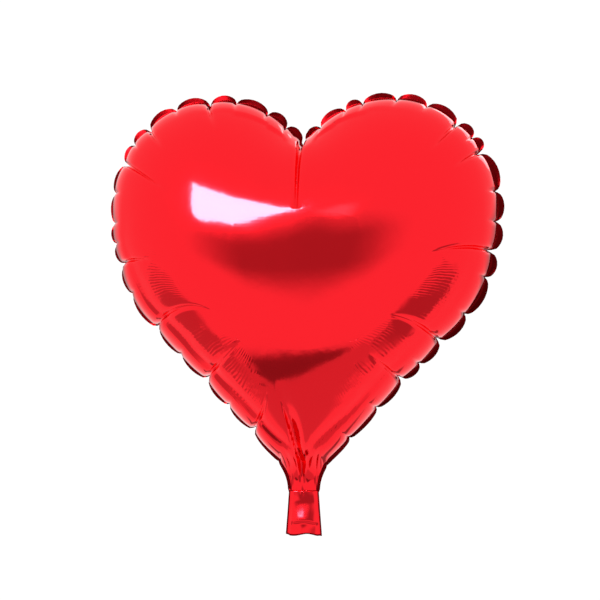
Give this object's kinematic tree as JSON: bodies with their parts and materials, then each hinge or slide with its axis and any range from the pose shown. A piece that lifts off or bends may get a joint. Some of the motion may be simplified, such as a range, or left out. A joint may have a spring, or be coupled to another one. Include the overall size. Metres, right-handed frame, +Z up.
{
  "type": "heart-shaped foil balloon",
  "caption": "Inflated heart-shaped foil balloon: two welded film panels, flat seam margin, open tail and a self-sealing film valve.",
  "frame": {"origin": "middle of the neck, where the ribbon is tied and the tail folds", "axes": "+Z up from the neck to the notch between the lobes; the front faces -Y; the seam lies in the XZ plane"},
  "size_m": [0.366, 0.2012, 0.408],
  "materials": {
    "foil_front": "mirror-bright red metallised film",
    "foil_back": "mirror-bright red metallised film",
    "valve_film": "thin translucent film"
  },
  "bodies": {
    "balloon": {"front_panel": "foil_front", "back_panel": "foil_back"},
    "tail": {"tail_front_sheet": "foil_front", "tail_back_sheet": "foil_back", "valve_front_entry": "valve_film", "valve_back_entry": "valve_film"},
    "valve_front": {"valve_front_film": "valve_film"},
    "valve_back": {"valve_back_film": "valve_film"}
  },
  "joints": [
    {"name": "tail_fold", "type": "hinge", "parent": "balloon", "child": "tail", "pos_m": [0, 0, 0], "axis": [1, 0, 0], "range_deg": [-110, 110]},
    {"name": "valve_front_open", "type": "hinge", "parent": "balloon", "child": "valve_front", "pos_m": [0, -0.00015, 0.0032], "axis": [1, 0, 0], "range_deg": [0, 5], "stiffness_Nm_per_rad": 0.002},
    {"name": "valve_back_open", "type": "hinge", "parent": "balloon", "child": "valve_back", "pos_m": [0, 0.00015, 0.0032], "axis": [1, 0, 0], "range_deg": [-5, 0], "stiffness_Nm_per_rad": 0.002}
  ],
  "couplings": [
    {"joint": "valve_back_open", "follows": "valve_front_open", "ratio": -1}
  ]
}
